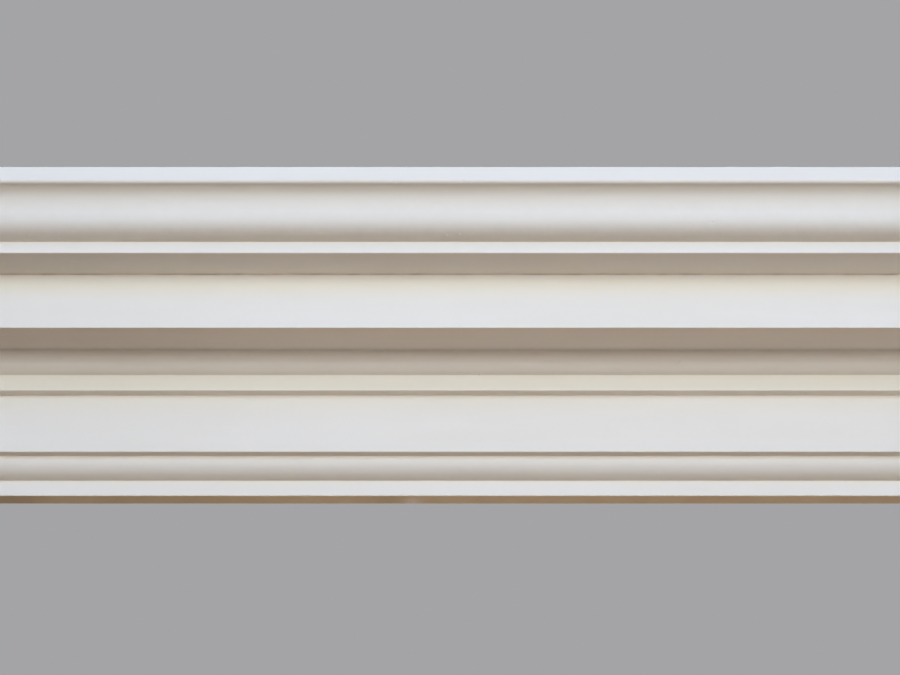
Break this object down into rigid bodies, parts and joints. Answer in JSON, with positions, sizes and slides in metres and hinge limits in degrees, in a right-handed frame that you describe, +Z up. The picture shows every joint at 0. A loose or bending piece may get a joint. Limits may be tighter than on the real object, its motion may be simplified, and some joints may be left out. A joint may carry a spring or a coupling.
{
  "type": "cornice moulding length",
  "caption": "Straight length of classical plaster cornice moulding, painted white: cyma crown, deep corona, bed mould, fascia and ovolo, with flat seats for wall and ceiling.",
  "frame": {"origin": "centre of the wall seat, the flat strip along the foot of the back, midway along the length", "axes": "+X along the length; +Y into the wall, so the moulded face looks towards -Y; +Z up, towards the ceiling"},
  "size_m": [1, 0.1916, 0.2051],
  "materials": {
    "painted_plaster": "matte"
  },
  "bodies": {
    "root": {"cornice_moulding": "painted_plaster"}
  },
  "joints": []
}
